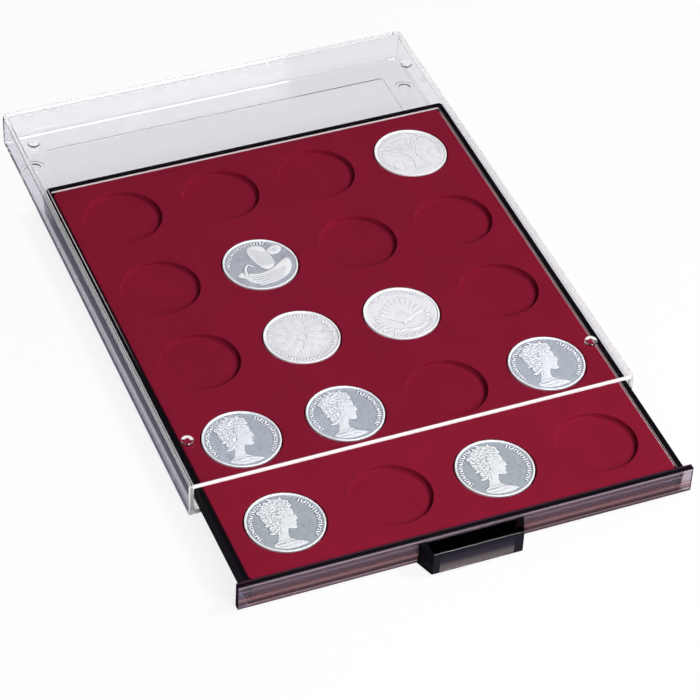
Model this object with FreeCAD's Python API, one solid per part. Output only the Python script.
import FreeCAD, Part

import os

V = FreeCAD.Vector
is_small = 0.001

# Frame: millimetres, +Z up, X across the case, Y from the drawer's front (-Y) to the case's rear (+Y).
# The origin is the centre of the flat underside that the case stands on.

# Case: a clear moulded sleeve, closed at its rear and open at its front
case_mouth_width = 236.0
case_depth = 303.0
case_height = 19.0
case_rear_inset = 1.4
case_side_wall = 2.6
case_rear_wall = 2.6
case_top_wall = 2.0
case_floor_wall = 2.0
case_rear_corner_radius = 3.0
case_edge_radius = 0.8
cavity_upright_radius = 1.0
cavity_floor_radius = 1.2
cavity_roof_radius = 0.6
mouth_lead_in = 0.6

# Running bands: the drawer runs on the floor's border, and the floor's middle is a little lower
floor_band_width_side = 16.0
floor_band_width_end = 18.8
floor_recess_depth = 0.5
floor_recess_corner_radius = 2.0

# Stacking interface: nubs on the top plate enter the sockets of the case above
nub_radius = 3.25
nub_height = 1.0
nub_edge_chamfer = 0.3
nub_from_side = 10.0
nub_from_end = 30.5
socket_clearance = 0.3
socket_depth = 1.2
socket_seat_radius = 6.0
socket_seat_depth = 0.3

# Drawer: a smoke-tinted moulding whose front panel closes the case's mouth
drawer_side_gap = 0.4
drawer_base_inset = 1.2
drawer_rear_gap = 0.6
drawer_wall = 2.3
drawer_floor_wall = 1.8
drawer_corner_radius = 2.2
drawer_inner_corner_radius = 1.0
drawer_base_edge_radius = 0.7
drawer_floor_gap = 0.3
drawer_top_gap = 0.3
closed_gap = 0.2
drawer_opening = 63.8

panel_thickness = 3.0
panel_above_table = 1.5
panel_above_rim = 0.1
panel_edge_radius = 0.5

# Finger grip on the panel, hollow from below
grip_half_width_panel = 27.8
grip_half_width_front = 23.5
grip_reach = 9.8
grip_below_panel_top = 1.8
grip_end_wall = 4.2
grip_front_wall = 2.2
grip_top_wall = 2.2
grip_edge_radius = 0.5

# Ribs on the drawer's floor that carry the insert between its columns of pockets
rib_thickness = 1.6
rib_end_gap = 12.0

# Insert: a formed sheet with flocked pockets and skirts that stand on the drawer's floor
insert_sheet = 1.0
insert_top_below_rim = 1.2
insert_side_gap = 0.4
insert_corner_radius = 4.0
insert_edge_radius = 0.6
insert_side_margin = 8.7
insert_end_margin = 10.0
pocket_columns = 4
pocket_rows = 5
pocket_radius = 20.5
pocket_depth = 2.8
pocket_lip = 0.4

# Coins: row 1 is the rear row, column 1 is the left one
coin_pocket_gap = 1.0
coin_thickness = 2.8
coin_rim_width = 1.1
coin_rim_height = 0.2
coin_places = [(1, 4), (2, 2), (3, 2), (3, 3), (4, 1), (4, 2), (4, 4), (5, 1), (5, 3)]

# Places that follow from the sizes above
case_front_y = -case_depth / 2
case_rear_y = case_depth / 2
cavity_rear_y = case_rear_y - case_rear_wall
cavity_floor_z = case_floor_wall
cavity_roof_z = case_height - case_top_wall
drawer_base_z = cavity_floor_z + drawer_floor_gap
drawer_rim_z = cavity_roof_z - drawer_top_gap
drawer_floor_z = drawer_base_z + drawer_floor_wall
panel_back_y = case_front_y - closed_gap - drawer_opening
panel_front_y = panel_back_y - panel_thickness
panel_top_z = drawer_rim_z + panel_above_rim
grip_top_z = panel_top_z - grip_below_panel_top
drawer_rear_y = cavity_rear_y - drawer_rear_gap - drawer_opening
insert_top_z = drawer_rim_z - insert_top_below_rim
insert_front_y = panel_back_y + insert_side_gap
insert_rear_y = drawer_rear_y - drawer_wall - insert_side_gap
insert_centre_y = (insert_front_y + insert_rear_y) / 2
pocket_floor_z = insert_top_z - pocket_depth
coin_radius = pocket_radius - coin_pocket_gap


def closed_wire(corners):
    """Closed wire of straight edges through a list of corners."""
    return Part.makePolygon(corners + corners[:1])


def prism(points, z_low, z_high):
    """Solid whose plan is a polygon."""
    corners = [V(x, y, z_low) for x, y in points]
    return Part.Face(closed_wire(corners)).extrude(V(0, 0, z_high - z_low))


def block(x_low, x_high, y_low, y_high, z_low, z_high):
    """Solid box between two corners."""
    return Part.makeBox(x_high - x_low, y_high - y_low, z_high - z_low, V(x_low, y_low, z_low))


def edges_where(shape, test):
    """Edges whose two end points both pass a test."""
    return [e for e in shape.Edges if len(e.Vertexes) == 2 and all(test(v.Point) for v in e.Vertexes)]


def is_close(a, b):
    """Whether two lengths are the same."""
    return abs(a - b) < is_small


def round_upright_edges(shape, radius, test=lambda p: True):
    """Rounds the edges that run from bottom to top where both ends pass a test."""
    upright = []
    for edge in edges_where(shape, test):
        a, b = [v.Point for v in edge.Vertexes]
        if abs(a.z - b.z) > abs(a.x - b.x) + abs(a.y - b.y):
            upright.append(edge)
    return shape.makeFillet(radius, upright)


def tapered_plan(half_front, half_rear, y_front, y_rear):
    """Plan of a symmetrical body that narrows towards the rear."""
    return [(-half_front, y_front), (half_front, y_front), (half_rear, y_rear), (-half_rear, y_rear)]


def nub_centres():
    """Plan places of the four stacking nubs and sockets."""
    x = case_mouth_width / 2 - nub_from_side
    y = case_depth / 2 - nub_from_end
    return [(sx * x, sy * y) for sy in (-1, 1) for sx in (-1, 1)]


def pocket_centre(row, column):
    """Plan place of one pocket, counted from the rear row and the left column."""
    last_x = insert_half_width() - insert_side_margin - pocket_radius
    last_y = (insert_rear_y - insert_front_y) / 2 - insert_end_margin - pocket_radius
    x = last_x * (2 * (column - 1) / (pocket_columns - 1) - 1)
    y = insert_centre_y - last_y * (2 * (row - 1) / (pocket_rows - 1) - 1)
    return x, y


def cylinder(centre, radius, z_low, z_high):
    """Upright cylinder."""
    return Part.makeCylinder(radius, z_high - z_low, V(centre[0], centre[1], z_low))


def case_half_width(y):
    """Half-width of the case's outer faces at one depth, narrower towards the rear."""
    return case_mouth_width / 2 - case_rear_inset * (y - case_front_y) / case_depth


def cavity_half_width(y):
    """Half-width of the space inside the case at one depth."""
    return case_half_width(y) - case_side_wall


def make_cavity():
    """Space inside the case, open at the front."""
    plan = tapered_plan(cavity_half_width(case_front_y), cavity_half_width(cavity_rear_y),
                        case_front_y, cavity_rear_y)
    cavity = prism(plan, cavity_floor_z, cavity_roof_z)
    cavity = round_upright_edges(cavity, cavity_upright_radius, lambda p: is_close(p.y, cavity_rear_y))
    for z, radius in ((cavity_floor_z, cavity_floor_radius), (cavity_roof_z, cavity_roof_radius)):
        level = edges_where(cavity, lambda p: is_close(p.z, z))
        cavity = cavity.makeFillet(radius, [e for e in level if not lies_in_mouth(e)])
    return cavity


def lies_in_mouth(edge):
    """Whether an edge lies in the plane of the case's mouth."""
    return all(is_close(v.Point.y, case_front_y) for v in edge.Vertexes)


def make_case():
    """Clear sleeve with its cavity, running bands, nubs and sockets."""
    plan = tapered_plan(case_half_width(case_front_y), case_half_width(case_rear_y), case_front_y, case_rear_y)
    shell = prism(plan, 0, case_height)
    shell = round_upright_edges(shell, case_rear_corner_radius, lambda p: is_close(p.y, case_rear_y))
    for z in (0, case_height):
        shell = shell.makeFillet(case_edge_radius, edges_where(shell, lambda p: is_close(p.z, z)))
    shell = shell.cut(make_cavity())
    half_opening = cavity_half_width(case_front_y)
    shell = shell.makeChamfer(mouth_lead_in, [
        e for e in shell.Edges
        if lies_in_mouth(e) and all(abs(v.Point.x) < half_opening + is_small for v in e.Vertexes)
        and all(cavity_floor_z - is_small < v.Point.z < cavity_roof_z + is_small for v in e.Vertexes)])

    half_recess = half_opening - floor_band_width_side
    recess = block(-half_recess, half_recess, case_front_y + floor_band_width_end,
                   case_rear_y - floor_band_width_end,
                   cavity_floor_z - floor_recess_depth, cavity_floor_z + floor_recess_depth)
    shell = shell.cut(round_upright_edges(recess, floor_recess_corner_radius))

    for centre in nub_centres():
        nub = cylinder(centre, nub_radius, case_height - case_top_wall / 2, case_height + nub_height)
        nub = nub.makeChamfer(nub_edge_chamfer, [
            e for e in nub.Edges if len(e.Vertexes) == 1 and e.Vertexes[0].Point.z > case_height])
        shell = shell.fuse(nub)
        shell = shell.cut(cylinder(centre, nub_radius + socket_clearance, 0, socket_depth))
        shell = shell.cut(cylinder(centre, socket_seat_radius, 0, socket_seat_depth))
    return shell.removeSplitter()


def drawer_half_width(z):
    """Half-width of the tray's drafted outer faces at one height, widest at the rim."""
    rim_half_width = cavity_half_width(cavity_rear_y) - drawer_side_gap
    return rim_half_width - drawer_base_inset * (drawer_rim_z - z) / (drawer_rim_z - drawer_base_z)


def insert_half_width():
    """Half-width of the insert's flat top."""
    return drawer_half_width(insert_top_z) - drawer_wall - insert_side_gap


def drafted_body(z_low, z_high, inset, y_front, y_rear):
    """Solid between two heights whose sides run parallel to the tray's drafted sides."""
    low = drawer_half_width(z_low) - inset
    high = drawer_half_width(z_high) - inset
    section = [V(-low, y_front, z_low), V(low, y_front, z_low), V(high, y_front, z_high), V(-high, y_front, z_high)]
    return Part.Face(closed_wire(section)).extrude(V(0, y_rear - y_front, 0))


def make_tray():
    """Drawer's floor and walls, with a rim all round."""
    inside_panel_y = panel_back_y - panel_thickness / 2
    outer = drafted_body(drawer_base_z, drawer_rim_z, 0, inside_panel_y, drawer_rear_y)
    outer = round_upright_edges(outer, drawer_corner_radius, lambda p: is_close(p.y, drawer_rear_y))
    outer = outer.makeFillet(drawer_base_edge_radius, edges_where(outer, lambda p: is_close(p.z, drawer_base_z)))
    hollow = drafted_body(drawer_floor_z, drawer_rim_z, drawer_wall, panel_back_y, drawer_rear_y - drawer_wall)
    hollow = round_upright_edges(hollow, drawer_inner_corner_radius)
    return outer.cut(hollow)


def grip_plan(half_panel, half_front, y_panel, y_front):
    """Plan of the grip, wide at the panel and narrower in front."""
    return [(-half_panel, y_panel), (-half_front, y_front), (half_front, y_front), (half_panel, y_panel)]


def make_grip():
    """Finger grip with slanted ends, and the hollow that opens it from below."""
    grip_front_y = panel_front_y - grip_reach
    inside_panel_y = panel_front_y + panel_thickness / 2
    body = prism(grip_plan(grip_half_width_panel, grip_half_width_front, inside_panel_y, grip_front_y),
                 panel_above_table, grip_top_z)
    body = body.makeFillet(grip_edge_radius, edges_where(body, lambda p: is_close(p.y, grip_front_y)))
    hollow = prism(grip_plan(grip_half_width_panel - grip_end_wall, grip_half_width_front - grip_end_wall,
                             panel_front_y, grip_front_y + grip_front_wall),
                   panel_above_table, grip_top_z - grip_top_wall)
    return body, hollow


def make_ribs():
    """Upright ribs between the columns of pockets, as tall as the insert's sheet allows."""
    rib_front_y = insert_front_y + rib_end_gap
    rib_rear_y = insert_rear_y - rib_end_gap
    ribs = []
    for gap in range(1, pocket_columns):
        x = (pocket_centre(1, gap)[0] + pocket_centre(1, gap + 1)[0]) / 2
        ribs.append(block(x - rib_thickness / 2, x + rib_thickness / 2, rib_front_y, rib_rear_y,
                          drawer_floor_z - drawer_floor_wall / 2, insert_top_z - insert_sheet))
    return ribs


def make_drawer():
    """Smoke-tinted drawer: tray, front panel, grip and ribs."""
    half_panel = case_mouth_width / 2
    panel = block(-half_panel, half_panel, panel_front_y, panel_back_y, panel_above_table, panel_top_z)
    panel = panel.makeFillet(panel_edge_radius, [
        e for e in panel.Edges if any(is_close(v.Point.y, panel_front_y) for v in e.Vertexes)])
    grip, grip_hollow = make_grip()
    drawer = make_tray().fuse([panel, grip] + make_ribs())
    return drawer.cut(grip_hollow).removeSplitter()


def make_insert():
    """Formed and flocked sheet with its pockets."""
    side_inset = drawer_wall + insert_side_gap
    under_z = insert_top_z - insert_sheet
    outer = drafted_body(drawer_floor_z, insert_top_z, side_inset, insert_front_y, insert_rear_y)
    outer = round_upright_edges(outer, insert_corner_radius)
    outer = outer.makeFillet(insert_edge_radius, edges_where(outer, lambda p: is_close(p.z, insert_top_z)))
    inner = drafted_body(drawer_floor_z, under_z, side_inset + insert_sheet,
                         insert_front_y + insert_sheet, insert_rear_y - insert_sheet)
    inner = round_upright_edges(inner, insert_corner_radius - insert_sheet)
    centres = [pocket_centre(row, column)
               for row in range(1, pocket_rows + 1) for column in range(1, pocket_columns + 1)]
    cups = [cylinder(c, pocket_radius + insert_sheet, pocket_floor_z - insert_sheet, insert_top_z)
            for c in centres]
    sheet = outer.cut(inner.cut(Part.makeCompound(cups)))
    return sheet.cut(Part.makeCompound([pocket_tool(c) for c in centres]))


def pocket_tool(centre):
    """Solid that cuts one pocket with an eased lip."""
    lip_z = insert_top_z - pocket_lip
    lip = Part.makeCone(pocket_radius, pocket_radius + pocket_lip, pocket_lip, V(centre[0], centre[1], lip_z))
    return cylinder(centre, pocket_radius, pocket_floor_z, insert_top_z).fuse(lip)


def make_coin(row, column):
    """Struck disc with a raised rim on both faces."""
    centre = pocket_centre(row, column)
    field_radius = coin_radius - coin_rim_width
    top_z = pocket_floor_z + coin_thickness
    coin = cylinder(centre, coin_radius, pocket_floor_z, top_z)
    coin = coin.cut(cylinder(centre, field_radius, top_z - coin_rim_height, top_z))
    return coin.cut(cylinder(centre, field_radius, pocket_floor_z, pocket_floor_z + coin_rim_height))


def export(shape, name):
    """Checks one solid and writes its file."""
    solids = shape.Solids
    if len(solids) != 1 or not shape.isValid():
        raise ValueError(f"{name}: {len(solids)} solids, valid {shape.isValid()}")
    solids[0].exportStep(f"parts/{name}.step")
    print(f"{name}: volume {solids[0].Volume:.1f} mm3")


os.makedirs("parts", exist_ok=True)
export(make_case(), "case")
export(make_drawer(), "drawer")
export(make_insert(), "insert")
for place in coin_places:
    export(make_coin(*place), f"coin_row{place[0]}_col{place[1]}")
